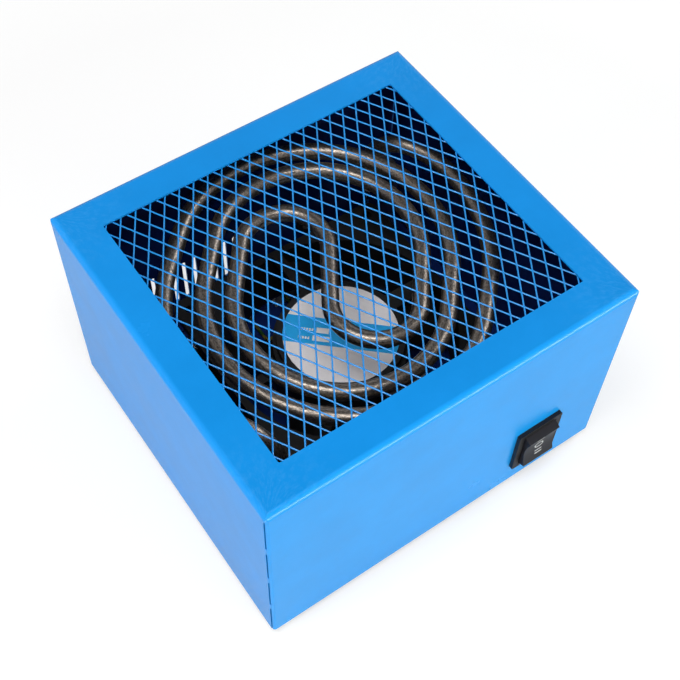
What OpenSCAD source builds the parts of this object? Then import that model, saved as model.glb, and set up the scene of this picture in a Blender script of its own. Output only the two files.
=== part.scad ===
// Watch dryer: a folded sheet steel case in which a fan blows air up past a bent tubular
// heater and out through a diamond mesh window. A rocker switch on the front has three
// positions. The case stands on four feet, with its front towards -Y and its top towards +Z.

/* [Case] */
// Width of the case from left to right
box_w = 190; // [180:1:230]
// Depth of the case from front to back
box_d = 175; // [170:1:210]
// Height of the case without its feet
box_h = 120; // [116:1:160]
// Thickness of the steel sheet
sheet_t = 1; // [0.8:0.1:1.4]
// Outer radius of the folds round the top
fold_r = 3; // [1.8:0.1:4]
// Outer radius of the upright corners
corner_r = 2; // [1.6:0.1:4]
// Width of the window in the top
window_w = 155; // [120:1:160]
// Depth of the window in the top
window_d = 140; // [110:1:145]
// Radius of the window's corners
window_r = 0.8; // [0.5:0.1:6]
// Width of the lips turned in under the walls
lip_w = 10; // [9:0.5:12]
// Length of the corner left free of lips
lip_notch = 16; // [14:1:24]
// Width of the seam at each upright corner
seam_w = 0.7; // [0.3:0.1:0.9]
// Length of each tack weld that closes a seam
tack_l = 5; // [3:0.5:10]
// Stretches of open seam at each corner
seam_n = 4; // [2:1:6]

/* [Air slots in the back wall] */
// Number of slots
slot_n = 10; // [4:1:12]
// Length of a slot
slot_l = 29; // [16:1:40]
// Width of a slot
slot_w = 2.2; // [1.5:0.1:3]
// Distance from slot to slot
slot_pitch = 6; // [5:0.5:7]
// Distance of the first slot from the left side
slot_inset = 36; // [20:1:50]
// Height of the slots' middle above the case's bottom
slot_rise = 28.5; // [24:0.5:40]

/* [Mesh guard] */
// Thickness of the mesh sheet
mesh_t = 1; // [0.6:0.1:1.6]
// Short pitch of the diamonds, left to right
mesh_px = 7.4; // [6:0.1:10]
// Long pitch of the diamonds, front to back
mesh_py = 12.6; // [10:0.1:16]
// Width of a strand
strand_w = 1; // [0.8:0.05:1.6]
// Overlap of the mesh sheet under the top, all round the window
mesh_lap = 11; // [6:0.5:13]
// Least rim left outside the diamonds
mesh_rim = 0.8; // [0.5:0.1:3]
// How far the pattern sits right of the window's middle and behind it
mesh_shift = [-1.95, 3.65]; // [-6:0.05:6]
// Skew of the pattern, as the shift to the right for each mm towards the back
mesh_skew = 0.0215; // [-0.03:0.0005:0.03]

/* [Bottom cover and feet] */
// Thickness of the bottom cover
cover_t = 1; // [0.8:0.1:1.5]
// Gap between the cover's edge and the case's outline
cover_gap = 0.4; // [0.2:0.1:1]
// Height of a foot
foot_h = 5; // [4.5:0.5:10]
// Diameter of a foot where it meets the cover
foot_d = 16; // [13:0.5:17]
// Diameter of a foot where it meets the table
foot_tip_d = 14; // [12:0.5:16]
// Distance of a foot's middle from the case's sides
foot_inset = 9; // [9:0.5:11]
// Diameter of the sheet screws in the cover and the feet
screw_d = 3.2; // [2.5:0.1:4]
// Length of a sheet screw past the sheet that it holds
screw_past = 3; // [2:0.5:5]
// Distance of a cover screw from the middle, along the side walls
cover_screw_y = 52; // [30:1:60]

/* [Fan] */
// Side of the square fan frame
fan_size = 119; // [112:1:120]
// Height of the fan frame
fan_h = 38; // [36:1:40]
// Distance from hole to hole along a side
fan_pitch = 105; // [98:1:106]
// Diameter of the bore in which the blades turn
fan_bore = 113; // [106:1:114]
// Thickness of the frame's two flanges
fan_flange_t = 4.5; // [3:0.5:6]
// Place of the fan right of the middle
fan_x = 2; // [-2:0.5:3]
// Height of the spacers under the fan
spacer_h = 16; // [14:1:20]
// Diameter of a spacer
spacer_d = 9; // [8:0.5:10]
// Diameter of the fan screws
fan_screw_d = 4; // [3:0.5:4]
// Outer diameter of the rotor's hub
hub_d = 66; // [62:1:70]
// Number of blades
blade_n = 5; // [3:1:7]
// Chord of a blade
blade_chord = 30; // [24:1:34]
// Pitch of a blade's chord
blade_pitch = 38; // [30:1:42]
// Radius of a blade's camber
blade_camber = 42; // [30:1:80]
// Thickness of a blade
blade_t = 1.8; // [1.4:0.1:2.4]
// Diameter of the rotor's shaft
shaft_d = 4; // [3:0.5:5]
// Diameter of the round label
label_d = 56; // [40:1:58]
// Thickness of the label
label_t = 0.3; // [0.2:0.05:0.5]

/* [Heater] */
// Width and depth of the case that the bend table is drawn for
heater_case = [190, 175]; // [100:1:300]
// Diameter of the heater tube
tube_d = 8; // [6:0.5:8.5]
// Depth of the tube's middle below the top
heater_drop = 22; // [18:1:26]
// Place of the heater's middle right of the case's middle
heater_x = -1; // [-3:0.5:3]
// Place of the heater's middle behind the case's middle
heater_y = 6.5; // [4:0.5:7]
// Direction of the straight through the middle
heater_turn = 237; // [230:1:244]
// Straight run before each bend of an arm
heater_runs = [15.5, 27, 23, 18.5, 0]; // [0:0.5:40]
// Radius of each bend of an arm
heater_radii = [20, 47.5, 62.5, 85.5, 50]; // [15:0.5:100]
// Angle of each bend of an arm
heater_angles = [175, 177, 176, 45, 30]; // [20:1:180]
// Radius of the bend down at the end of an arm
down_r = 20; // [16:1:24]
// Thickness of a heater bracket
bracket_t = 1.5; // [1:0.1:2]
// Width of a heater bracket
bracket_w = 14; // [13:0.5:15]
// Straight of the tube between its bend down and a ferrule's head
shelf_gap = 1.5; // [1:0.5:4]
// Distance from a bracket's upright to the tube
bracket_reach = 12; // [10.5:0.5:14]
// Length of a bracket's foot
bracket_foot = 21; // [18:1:22]
// Width across the flats of a ferrule's head and its nut
ferrule_af = 13; // [12:0.5:14]
// Diameter of a ferrule's barrel
ferrule_d = 10; // [9.5:0.1:11]
// Height of a ferrule's head and of its nut
ferrule_head = 4; // [3:0.5:5]
// Length of an insulator below the ferrule
insulator_l = 6; // [4:0.5:10]
// Diameter of an insulator
insulator_d = 6.4; // [5:0.1:7]
// Diameter of a terminal pin
pin_d = 2.4; // [2:0.1:3]
// Length of a terminal pin below its insulator
pin_l = 8; // [5:0.5:12]

/* [Switch] */
// Width of the switch's bezel
bezel_w = 25.5; // [24:0.1:27]
// Height of the switch's bezel
bezel_h = 31; // [30:0.1:33]
// Thickness of the bezel
bezel_t = 2; // [1.5:0.1:3]
// Width of the switch's body
switch_w = 22; // [21:0.1:23]
// Height of the switch's body
switch_h = 28; // [27:0.1:29]
// Depth of the switch's body behind the panel
switch_depth = 16.5; // [15:0.5:18]
// Distance of the switch's middle from the right side
switch_inset = 41.6; // [25:0.1:60]
// Height of the switch's middle above the case's bottom
switch_rise = 31.2; // [24:0.1:50]
// Wall of the switch's body beside the rocker
switch_wall = 1.5; // [1.2:0.1:2]
// How far the rocker's ends stand out of the panel
rocker_out = 5.5; // [4.5:0.1:7]
// Depth of the hollow in the rocker's face
rocker_dish = 1.9; // [1:0.1:2.5]
// Diameter of the rocker's pivot pins
pivot_d = 3; // [2:0.1:4]
// Length of a switch terminal behind the body
tab_l = 6; // [5:0.5:7]

/* [Cord inlet and terminal block] */
// Distance of the inlet's middle from the right side
inlet_inset = 55; // [40:1:80]
// Height of the inlet's middle above the case's bottom
inlet_rise = 24; // [18:1:60]
// Diameter of the hole in the wall
inlet_d = 11; // [9:0.5:14]
// Bore of the inlet bush
inlet_bore = 7.2; // [5:0.1:8]
// Width of the inlet bush's flange past the hole
collar_w = 2; // [1.5:0.1:3]
// Thickness of the inlet bush's collar inside the wall
collar_t = 1.8; // [1.2:0.1:3]
// Thickness of the inlet bush's flange outside the wall
flange_t = 3; // [2:0.1:4]
// Distance from pole to pole of the terminal block
block_pitch = 9; // [8:0.5:10]
// Depth of the terminal block
block_d = 13; // [11:0.5:14]
// Height of the terminal block
block_h = 13; // [11:0.5:16]
// Bore of a pole
block_bore = 4; // [3:0.1:4.5]

/* [Leads] */
// Diameter of a lead over its insulation
lead_d = 1.8; // [1.4:0.1:1.9]
// Radius of a lead's bends
lead_r = 2; // [1.5:0.1:2]
// Place of the earth screw in front of the terminal block's middle
earth_set = 2; // [0:0.5:4]
// Place of the earth screw left of the terminal block
earth_gap = 16; // [12:1:30]

/* [Fits] */
// Clearance where one piece seats in another
fit = 0.1; // [0.05:0.01:0.15]
// Clearance where a pin or a shaft turns
running = 0.08; // [0.05:0.01:0.1]
// Clearance beside a moving piece
gap = 0.5; // [0.3:0.05:0.8]

/* [Hidden] */
$fn = 64;

// Through cuts run this far past the faces that they open
past = 1;
// Levels, from the table up
cover_top = foot_h + cover_t;
top_z = foot_h + box_h;
shell_h = box_h - cover_t;
inner_w = box_w - 2 * sheet_t;
inner_d = box_d - 2 * sheet_t;
mesh_z = top_z - sheet_t - mesh_t;

// Screw heads and nuts of all sizes share these proportions of the shank
head_ratio = 1.9;
head_h_ratio = 0.6;
nut_ratio = 1.75;
nut_h_ratio = 0.8;
recess_ratio = 1.1;
recess_w_ratio = 0.28;
recess_h_ratio = 0.35;
// Play all round a screw head that sits in a counterbore
head_play = 0.3;
// Depth of the cuts that open a wall
wall_cut = 4 * sheet_t;

// Seams stop below the folds of the top
seam_top = fold_r + sheet_t;
seam_l = (shell_h - seam_top - (seam_n - 1) * tack_l) / seam_n;

// Mesh sheet and the middles of the whole diamonds that fit inside its rim
mesh_w = min(window_w + 2 * mesh_lap, inner_w - 2 * fold_r);
mesh_d = min(window_d + 2 * mesh_lap, inner_d - 2 * fold_r);
diamond_side = norm([mesh_px, mesh_py]);
diamond_open = 1 - strand_w * diamond_side / (mesh_px * mesh_py);
field_x = mesh_w / 2 - mesh_rim - diamond_open * mesh_px / 2;
field_y = mesh_d / 2 - mesh_rim - diamond_open * mesh_py / 2;
mesh_nx = ceil(field_x / mesh_px) + 1;
mesh_ny = 2 * ceil(field_y / mesh_py);
diamonds = [
  for (j = [-mesh_ny : mesh_ny])
    for (i = [-mesh_nx : mesh_nx])
      let (y = mesh_shift.y + j * mesh_py / 2)
      let (x = mesh_shift.x + mesh_skew * y + (i + abs(j) % 2 / 2) * mesh_px)
      if (abs(x) < field_x && abs(y) < field_y) [x, y]
];
diamond_tip = [mesh_skew * mesh_py / 2, mesh_py / 2];

// Fan levels and radii, from the frame inwards
fan_z = cover_top + spacer_h;
fan_top = fan_z + fan_h;
fan_corner_r = 5;
fan_duct_wall = 2.2;
fan_flare = 1.6;
fan_flare_h = 4;
fan_hole_d = fan_screw_d + 3 * fit;
fan_nut_h = nut_h_ratio * fan_screw_d;
strut_w = 5;
strut_t = 4;
strut_n = 4;
base_step = 2;
base_d = hub_d - 2 * base_step;
base_t = 4;
base_z = fan_top - base_t;
hub_wall = 2;
hub_floor = 2.5;
hub_z = fan_z + fan_flange_t;
hub_h = base_z - 2 * gap - hub_z;
ring_d = hub_d - 2 * hub_wall - 2 * fit;
ring_wall = 3;
stator_d = ring_d - 2 * ring_wall - 2 * gap;
stator_h = 14;
coil_over = 4;
coil_side = 4;
coil_l = 8;
pole_n = 4;
pole_w = 14;
shoe_t = 4;
slot_r = stator_d / 2 - shoe_t;
slot_mouth = 3;
stator_z = base_z - gap - coil_over - stator_h;
post_d = 12;
post_z = stator_z;
bearing_d = 8;
bearing_h = 4;
boss_d = 10;
boss_top = post_z - 2 * gap;
tip_r = fan_bore / 2 - 2 * gap;
blade_root = 1;
blade_z = (hub_z + base_z) / 2;

// Bent tube of the heater: one arm from the middle outwards, the other is its half turn
heater_z = top_z - heater_drop;
heater_scale = min(box_w / heater_case.x, box_d / heater_case.y);
heater_middle = heater_scale * [heater_x, heater_y];
bend_runs = heater_scale * heater_runs;
bend_radii = heater_scale * heater_radii;
bend_n = len(heater_runs);
shelf_top = heater_z - down_r - shelf_gap - ferrule_head;
shelf_z = shelf_top - bracket_t;
barrel_past = 3;
barrel_l = bracket_t + ferrule_head + barrel_past;
tube_end_z = shelf_top - barrel_l;
// Places of the screws along a bracket's foot, as shares of its length from the upright
bracket_screw_shares = [0.3, 0.72];

// Place and heading of the tube after the first n bends of an arm
function arm_pose(n) = n == 0 ? [0, 0, heater_turn] :
  let (p = arm_pose(n - 1), run = bend_runs[n - 1], r = bend_radii[n - 1])
  let (turned = p[2] + heater_angles[n - 1])
  [
    p.x + run * cos(p[2]) + r * (sin(turned) - sin(p[2])),
    p.y + run * sin(p[2]) - r * (cos(turned) - cos(p[2])),
    turned
  ];
arm_end = arm_pose(bend_n);
leg_x = arm_end.x + down_r * cos(arm_end[2]);
leg_y = arm_end.y + down_r * sin(arm_end[2]);

// Points along one arm from the middle to the bend down, a step of so many degrees or mm apart.
// Each is [x, y, length of tube before it, heading].
function bend_length(i) = bend_runs[i] + bend_radii[i] * heater_angles[i] * PI / 180;
function length_before(i) = i == 0 ? 0 : length_before(i - 1) + bend_length(i - 1);
function run_points(i, step) =
  let (p = arm_pose(i), run = bend_runs[i], n = ceil(run / step))
  [
    for (k = [0 : 1 : n - 1])
      let (s = run * k / n)
      [p.x + s * cos(p[2]), p.y + s * sin(p[2]), length_before(i) + s, p[2]]
  ];
function bend_points(i, step) =
  let (p = arm_pose(i), run = bend_runs[i], r = bend_radii[i], n = ceil(heater_angles[i] / step))
  [
    for (k = [0 : 1 : n - 1])
      let (a = heater_angles[i] * k / n, turned = p[2] + a)
      [
        p.x + run * cos(p[2]) + r * (sin(turned) - sin(p[2])),
        p.y + run * sin(p[2]) - r * (cos(turned) - cos(p[2])),
        length_before(i) + run + r * a * PI / 180,
        turned
      ]
  ];
function arm_points(step) =
  [for (i = [0 : bend_n - 1]) each concat(run_points(i, step), bend_points(i, step))];

// Least gap between two turns, over points that are more than half a loop of tube apart
gap_step = 3;
gap_points = arm_points(gap_step);
half_loop = PI * min(bend_radii);
turn_distances = [
  for (p = gap_points)
    for (q = gap_points)
      each concat(
        p[2] + q[2] > half_loop ? [norm([p.x + q.x, p.y + q.y])] : [],
        p[2] - q[2] > half_loop ? [norm([p.x - q.x, p.y - q.y])] : []
      )
];
turn_gap = min(turn_distances) - tube_d;
echo(str("Least gap between turns of the heater: ", turn_gap, " mm"));

// Stations of one arm with its leg, each [x, y, z, heading, pitch], and of the whole tube
tube_step = 10;
tube_sides = 10;
function down_station(pitch) = [
  arm_end.x + down_r * sin(pitch) * cos(arm_end[2]),
  arm_end.y + down_r * sin(pitch) * sin(arm_end[2]),
  heater_z - down_r * (1 - cos(pitch)),
  arm_end[2],
  pitch
];
arm_stations = concat(
  [for (p = arm_points(tube_step)) [p.x, p.y, heater_z, p[3], 0]],
  [for (pitch = [0 : tube_step : 90]) down_station(pitch)],
  [[leg_x, leg_y, tube_end_z, arm_end[2], 90]]
);
tube_stations = concat(
  [for (i = [len(arm_stations) - 1 : -1 : 1])
    let (s = arm_stations[i])
    [-s.x, -s.y, s.z, s[3], -s[4]]],
  arm_stations
);

// Switch, measured from the panel's outer face
switch_x = box_w / 2 - switch_inset;
switch_z = foot_h + switch_rise;
cutout_play = 0.2;
bezel_r = 1;
cavity_w = switch_w - 2 * switch_wall;
cavity_h = switch_h - 2 * switch_wall;
rocker_w = cavity_w - 2 * gap;
rocker_r = cavity_h / 2 - gap / 2;
pivot_out = -1;
rocker_back = 3;
cavity_back = 9;
rocker_land = 0.5;
dish_half = sqrt(pow(rocker_r, 2) - pow(rocker_out - pivot_out, 2)) - rocker_land;
dish_r = (pow(dish_half, 2) + pow(rocker_dish, 2)) / (2 * rocker_dish);
tab_w = 4.8;
tab_t = 0.8;
tab_px = 10;
tab_py = 9;
tab_in = 6;
latch_l = 8;
latch_h = 1;
latch_d = 4;

// Cord inlet and terminal block
inlet_x = box_w / 2 - inlet_inset;
inlet_z = foot_h + inlet_rise;
block_n = 3;
block_ends = 3;
block_w = block_n * block_pitch + block_ends;
block_aside = 4;
block_x = inlet_x - block_w / 2 - collar_w - block_aside;
block_back = 1;
block_y = box_d / 2 - sheet_t - lip_w - block_back - block_d / 2;
block_screw_d = 2.6;
block_screw_past = 1;
pole_rise = 0.45;
pole_z = pole_rise * block_h;
pole_screw_d = 3;

// Leads run beside the fan, at levels that keep them clear of each other
tab_y = switch_depth + tab_l + fit - box_d / 2;
tab_xs = [switch_x - tab_px / 2, switch_x + tab_px / 2];
tab_zs = [switch_z - tab_py, switch_z, switch_z + tab_py];
tab_pair = lead_d + 3 * fit;
tab_lift = 3 * fit;
fan_duct_r = fan_bore / 2 + fan_duct_wall;
fan_reach = max(fan_size / 2, fan_duct_r);
run_gap = 2;
front_run = max(tab_y + lead_r + run_gap / 2, -fan_reach - run_gap);
corner_run = front_run + 2.5 * run_gap;
side_run = fan_x + fan_reach + 5 * run_gap;
cross_run = fan_pitch / 2 - spacer_d / 2 - run_gap;
fan_tab_end = front_run + 1.75 * run_gap;
fan_tab_w = 2.8;
fan_tab_t = 0.5;
fan_tab_side = 30;
pole_pair = (lead_d + fit) / 2;
pole_depth = 1.5;
pole_y = block_y - block_d / 2 + pole_depth;
back_run = pole_y - 2.5 * run_gap;
lead_z = cover_top + pole_z;
floor_z = cover_top + lead_d / 2 + fit;
fan_tab_xs = [fan_x + fan_tab_side, block_x + pole_pair];
fan_tab_z = tab_zs[2];
over_run = lead_z + 2.5 * lead_r;
pin_end = tube_end_z - insulator_l - pin_l - fit;
high_run = pin_end - 2 * lead_r;
earth_x = block_x - block_w / 2 - earth_gap;
earth_y = block_y - earth_set;
earth_d = 4;
tag_t = 0.8;
tag_d = 8;
tag_w = 3;
tag_l = 6;
lead_step = 18;
lead_sides = 8;
// Direction that no lead runs along
lead_aim = [1, 2, 3];

function unit(v) = v / norm(v);
// Points and directions round the corner p of a lead, between a and b
function corner_points(a, p, b) =
  let (u = unit(p - a), w = unit(b - p), turn = acos(u * w), n = unit(w - cos(turn) * u))
  let (start = p - lead_r * tan(turn / 2) * u, steps = ceil(turn / lead_step))
  [
    for (k = [0 : steps])
      let (t = turn * k / steps)
      [start + lead_r * (sin(t) * u + (1 - cos(t)) * n), cos(t) * u + sin(t) * n]
  ];
function lead_points(corners) =
  let (last = len(corners) - 1)
  concat(
    [[corners[0], unit(corners[1] - corners[0])]],
    [for (i = [1 : last - 1]) each corner_points(corners[i - 1], corners[i], corners[i + 1])],
    [[corners[last], unit(corners[last] - corners[last - 1])]]
  );

// Plan outline with round corners
module round_rect(w, d, r) {
  square([w - 2 * r, d], center = true);
  square([w, d - 2 * r], center = true);
  for (x = [-1, 1], y = [-1, 1])
    translate([x * (w / 2 - r), y * (d / 2 - r)])
      circle(r);
}

// Upright outline that stands on its lower edge and has round upper corners
module arch(w, h, r) {
  translate([-w / 2, 0])
    square([w, h - r]);
  translate([r - w / 2, 0])
    square([w - 2 * r, h]);
  for (x = [-1, 1])
    translate([x * (w / 2 - r), h - r])
      circle(r);
}

// Block with folded upper edges and round upright corners
module folded_block(w, d, h, upper_r, upright_r) {
  intersection() {
    linear_extrude(h)
      round_rect(w, d, upright_r);
    rotate([90, 0, 0])
      linear_extrude(d + 2 * past, center = true)
        arch(w, h, upper_r);
    rotate([90, 0, 90])
      linear_extrude(w + 2 * past, center = true)
        arch(d, h, upper_r);
  }
}

// Slot outline with round ends, upright
module slot(l, w) {
  square([w, l - w], center = true);
  for (s = [-1, 1])
    translate([0, s * (l - w) / 2])
      circle(d = w);
}

// Screw with a cross-recessed pan head, head down, with its bearing face at the origin
module pan_screw(d, l) {
  cylinder(h = l, d = d);
  translate([0, 0, -head_h_ratio * d])
    difference() {
      cylinder(h = head_h_ratio * d, d = head_ratio * d);
      for (quarter = [0, 90])
        rotate(quarter)
          cube([recess_ratio * d, recess_w_ratio * d, 2 * recess_h_ratio * d], center = true);
    }
}

// Nut with a plain bore
module hex_nut(af, h, bore) {
  difference() {
    cylinder(h = h, d = af / cos(30), $fn = 6);
    translate([0, 0, -past])
      cylinder(h = h + 2 * past, d = bore);
  }
}

// Round bar through frames, each [point, side, up]
module swept(frames, d, sides) {
  rings = len(frames);
  last = (rings - 1) * sides;
  points = [
    for (f = frames)
      for (k = [0 : sides - 1])
        f[0] + d / 2 * (cos(360 * k / sides) * f[1] + sin(360 * k / sides) * f[2])
  ];
  walls = [
    for (i = [0 : rings - 2])
      for (k = [0 : sides - 1])
        let (a = i * sides + k, b = i * sides + (k + 1) % sides)
        each [[a, a + sides, b + sides], [a, b + sides, b]]
  ];
  ends = [
    for (k = [1 : sides - 2])
      each [[0, k, k + 1], [last, last + k + 1, last + k]]
  ];
  polyhedron(points, concat(walls, ends));
}

// Lead that rounds the given corners
module lead(corners) {
  swept(
    [
      for (p = lead_points(corners))
        let (side = unit(cross(lead_aim, p[1])))
        [p[0], side, cross(p[1], side)]
    ],
    lead_d,
    lead_sides
  );
}

// Children at the four places that mirror one corner
module at_corners(x, y) {
  for (sx = [-1, 1], sy = [-1, 1])
    translate([sx * x, sy * y, 0])
      children();
}

module at_cover_screws() {
  at_corners(inner_w / 2 - lip_w / 2, cover_screw_y)
    children();
}

module at_feet() {
  at_corners(box_w / 2 - foot_inset, box_d / 2 - foot_inset)
    children();
}

module at_fan_holes() {
  translate([fan_x, 0, 0])
    at_corners(fan_pitch / 2, fan_pitch / 2)
      children();
}

// Children at the two tube ends, with +X pointing from the tube to the bracket's upright
module at_tube_ends() {
  translate(heater_middle)
    for (turn = [0, 180])
      rotate(turn)
        translate([leg_x, leg_y, 0])
          children();
}

module at_bracket_screws() {
  at_tube_ends()
    for (share = bracket_screw_shares)
      translate([bracket_reach - share * bracket_foot, 0, 0])
        children();
}

// Children with +Z out of the front panel at the switch's middle and +Y up
module at_switch() {
  translate([switch_x, -box_d / 2, switch_z])
    rotate([90, 0, 0])
      children();
}

// Case

module corner_seams() {
  for (sx = [-1, 1], sy = [-1, 1], i = [0 : seam_n - 1])
    translate([
      (sx * (box_w - sheet_t) - wall_cut) / 2,
      sy * (inner_d / 2 - seam_w / 2) - seam_w / 2,
      i * (seam_l + tack_l) - (i == 0 ? past : 0)
    ])
      cube([wall_cut, seam_w, seam_l + (i == 0 ? past : 0)]);
}

module lip_opening() {
  square([inner_w - 2 * lip_w, inner_d - 2 * lip_w], center = true);
  for (sx = [-1, 1], sy = [-1, 1])
    translate([sx * (inner_w - lip_notch) / 2, sy * (inner_d - lip_notch) / 2])
      square(lip_notch, center = true);
}

module housing_shell() {
  color("dodgerblue")
  difference() {
    translate([0, 0, cover_top])
      difference() {
        folded_block(box_w, box_d, shell_h, fold_r, corner_r);
        translate([0, 0, sheet_t])
          folded_block(inner_w, inner_d, shell_h - 2 * sheet_t, fold_r - sheet_t, corner_r - sheet_t);
        translate([0, 0, -past])
          linear_extrude(sheet_t + 2 * past)
            lip_opening();
        corner_seams();
      }
    translate([0, 0, top_z - sheet_t - past])
      linear_extrude(sheet_t + 2 * past)
        round_rect(window_w, window_d, window_r);
    for (i = [0 : slot_n - 1])
      translate([slot_inset + i * slot_pitch - box_w / 2, box_d / 2, foot_h + slot_rise])
        rotate([90, 0, 0])
          linear_extrude(wall_cut, center = true)
            slot(slot_l, slot_w);
    at_switch()
      cube([switch_w + 2 * cutout_play, switch_h + 2 * cutout_play, wall_cut], center = true);
    translate([inlet_x, box_d / 2, inlet_z])
      rotate([90, 0, 0])
        cylinder(h = wall_cut, d = inlet_d, center = true);
    at_cover_screws()
      translate([0, 0, cover_top - past])
        cylinder(h = sheet_t + 2 * past, d = screw_d + 2 * fit);
  }
}

module mesh_guard() {
  color("royalblue")
  translate([0, 0, mesh_z])
    linear_extrude(mesh_t)
      difference() {
        square([mesh_w, mesh_d], center = true);
        for (middle = diamonds)
          translate(middle)
            scale(diamond_open)
              polygon([[mesh_px / 2, 0], diamond_tip, [-mesh_px / 2, 0], -diamond_tip]);
      }
}

module bottom_cover() {
  color("steelblue")
  difference() {
    translate([0, 0, foot_h])
      linear_extrude(cover_t)
        round_rect(box_w - 2 * cover_gap, box_d - 2 * cover_gap, corner_r);
    translate([0, 0, foot_h - past]) {
      at_cover_screws()
        cylinder(h = cover_t + 2 * past, d = screw_d + 2 * fit);
      at_feet()
        cylinder(h = cover_t + 2 * past, d = screw_d + 2 * fit);
      at_fan_holes()
        cylinder(h = cover_t + 2 * past, d = fan_screw_d + 2 * fit);
      at_bracket_screws()
        cylinder(h = cover_t + 2 * past, d = screw_d + 2 * fit);
      at_block_screws()
        cylinder(h = cover_t + 2 * past, d = block_screw_d + 2 * fit);
      translate([earth_x, earth_y, 0])
        cylinder(h = cover_t + 2 * past, d = earth_d + 2 * fit);
    }
  }
}

module cover_screws() {
  color("silver")
  translate([0, 0, foot_h])
    at_cover_screws()
      pan_screw(screw_d, cover_t + sheet_t + screw_past);
}

module feet() {
  color("dimgray")
  at_feet()
    difference() {
      cylinder(h = foot_h, d1 = foot_tip_d, d2 = foot_d);
      translate([0, 0, -past])
        cylinder(h = foot_h + 2 * past, d = screw_d + 2 * fit);
      translate([0, 0, -past])
        cylinder(h = foot_h / 2 + past, d = head_ratio * screw_d + 2 * head_play);
    }
}

module foot_screws() {
  color("silver")
  translate([0, 0, foot_h / 2])
    at_feet()
      pan_screw(screw_d, foot_h / 2 + cover_t + screw_past);
}

// Fan

module fan_frame() {
  color("#2b2c30")
  translate([fan_x, 0, 0]) {
    difference() {
      union() {
        for (z = [fan_z, fan_top - fan_flange_t])
          translate([0, 0, z])
            linear_extrude(fan_flange_t)
              round_rect(fan_size, fan_size, fan_corner_r);
        translate([0, 0, fan_z])
          cylinder(h = fan_h, d = fan_bore + 2 * fan_duct_wall);
      }
      translate([0, 0, fan_z - past])
        cylinder(h = fan_h + 2 * past, d = fan_bore);
      translate([0, 0, fan_z])
        cylinder(h = fan_flare_h, d1 = fan_bore + 2 * fan_flare, d2 = fan_bore);
      at_corners(fan_pitch / 2, fan_pitch / 2)
        translate([0, 0, fan_z - past])
          cylinder(h = fan_h + 2 * past, d = fan_hole_d);
      translate([-fan_x, 0, 0])
        fan_tabs(fit);
    }
    difference() {
      union() {
        translate([0, 0, base_z])
          cylinder(h = base_t, d = base_d);
        for (i = [0 : strut_n - 1])
          rotate(i * 360 / strut_n)
            translate([base_d / 2 - strut_w, -strut_w / 2, fan_top - strut_t])
              cube([(fan_bore - base_d) / 2 + strut_w + fan_duct_wall / 2, strut_w, strut_t]);
        translate([0, 0, post_z])
          cylinder(h = base_z - post_z, d = post_d);
      }
      translate([0, 0, fan_top - label_t])
        cylinder(h = label_t + past, d = label_d + 2 * fit);
      translate([0, 0, post_z - past])
        cylinder(h = base_z - post_z + past, d = bearing_d + 2 * fit);
    }
  }
}

// Flat terminals that stand in the duct's wall, with play all round where they are cut out
module fan_tabs(play) {
  for (x = fan_tab_xs) {
    foot_y = fan_duct_wall / 2 - sqrt(pow(fan_duct_r, 2) - pow(x - fan_x, 2));
    translate([x - fan_tab_t / 2 - play, fan_tab_end - play, fan_tab_z - fan_tab_w / 2 - play])
      cube([fan_tab_t + 2 * play, foot_y - fan_tab_end + 2 * play, fan_tab_w + 2 * play]);
  }
}

module fan_terminals() {
  color("goldenrod")
  fan_tabs(0);
}

module stator_outline() {
  difference() {
    circle(d = stator_d);
    circle(d = post_d + 2 * fit);
    for (i = [0 : pole_n - 1])
      rotate(i * 360 / pole_n) {
        intersection() {
          circle(slot_r);
          translate([pole_w / 2, pole_w / 2])
            square(stator_d);
        }
        rotate(180 / pole_n)
          translate([slot_r - past, -slot_mouth / 2])
            square([stator_d / 2, slot_mouth]);
      }
  }
}

module fan_stator() {
  color("slategray")
  translate([fan_x, 0, stator_z])
    linear_extrude(stator_h)
      stator_outline();
}

module fan_windings() {
  color("peru")
  translate([fan_x, 0, stator_z + stator_h / 2])
    for (i = [0 : pole_n - 1])
      rotate(i * 360 / pole_n)
        translate([pole_w / 2 + coil_side + coil_l / 2 + gap, 0, 0])
          difference() {
            cube([coil_l, pole_w + 2 * coil_side, stator_h + 2 * coil_over - gap], center = true);
            cube([coil_l + past, pole_w + 2 * fit, stator_h + 2 * fit], center = true);
          }
}

module fan_bearings() {
  color("gainsboro")
  translate([fan_x, 0, 0])
    for (z = [post_z, base_z - bearing_h])
      translate([0, 0, z])
        difference() {
          cylinder(h = bearing_h, d = bearing_d);
          translate([0, 0, -past])
            cylinder(h = bearing_h + 2 * past, d = shaft_d + 2 * running);
        }
}

module fan_label() {
  color("whitesmoke")
  translate([fan_x, 0, fan_top - label_t])
    cylinder(h = label_t, d = label_d);
}

module fan_spacers() {
  color("lightgray")
  translate([0, 0, cover_top])
    at_fan_holes()
      difference() {
        cylinder(h = spacer_h, d = spacer_d);
        translate([0, 0, -past])
          cylinder(h = spacer_h + 2 * past, d = fan_screw_d + 2 * fit);
      }
}

module fan_screws() {
  color("silver")
  translate([0, 0, foot_h])
    at_fan_holes()
      pan_screw(fan_screw_d, cover_t + spacer_h + fan_flange_t + fan_nut_h + past);
}

module fan_nuts() {
  color("silver")
  translate([0, 0, fan_z + fan_flange_t])
    at_fan_holes()
      hex_nut(nut_ratio * fan_screw_d, fan_nut_h, fan_screw_d + 2 * fit);
}

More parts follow.
